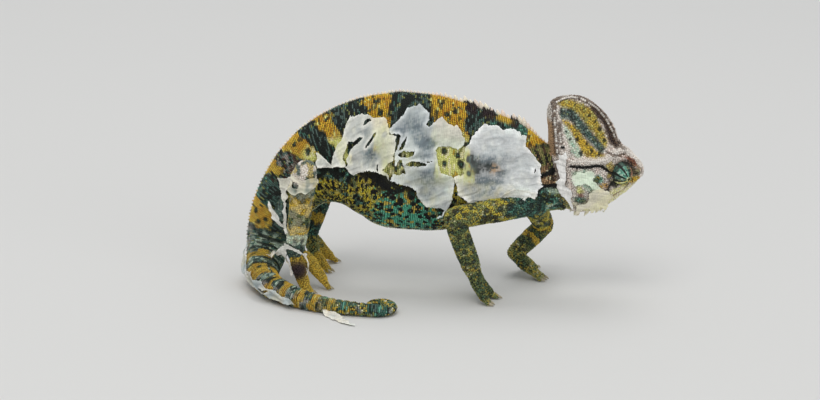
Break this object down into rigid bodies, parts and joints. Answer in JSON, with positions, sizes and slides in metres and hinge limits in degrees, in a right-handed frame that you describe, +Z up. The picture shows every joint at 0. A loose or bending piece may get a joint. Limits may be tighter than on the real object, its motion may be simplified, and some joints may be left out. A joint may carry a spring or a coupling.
{
  "type": "veiled chameleon",
  "caption": "Life-size standing veiled chameleon with a tall casque, turret eyes, an arched back with a spiny crest, gripping feet and a tail coiled flat at its tip.",
  "frame": {"origin": "on the ground, below the centre of the bounding box", "axes": "+X towards the snout, +Y towards the animal's left side, +Z up"},
  "size_m": [0.1458, 0.0706, 0.0761],
  "materials": {
    "hide": "matt granular hide, green-black and yellow bands",
    "limb_hide": "matt granular hide, mottled green and yellow",
    "casque_hide": "tight scaly hide over bone, yellow and teal",
    "eye_hide": "fine-scaled eyelid, green"
  },
  "bodies": {
    "root": {"casque": "casque_hide", "head": "hide", "lower_jaw": "hide", "eye_right": "eye_hide", "eye_left": "eye_hide", "neck": "hide", "trunk": "hide", "hips": "hide", "tail_base": "hide", "tail_middle": "hide", "tail_end": "hide", "tail_coil": "hide", "tail_tip": "hide", "foreleg_right_upper": "limb_hide", "foreleg_right_lower": "limb_hide", "forefoot_right": "limb_hide", "foreleg_left_upper": "limb_hide", "foreleg_left_lower": "limb_hide", "forefoot_left": "limb_hide", "hindleg_right_thigh": "limb_hide", "hindleg_right_shin": "limb_hide", "hindfoot_right": "limb_hide", "hindleg_left_thigh": "limb_hide", "hindleg_left_shin": "limb_hide", "hindfoot_left": "limb_hide"}
  },
  "joints": []
}
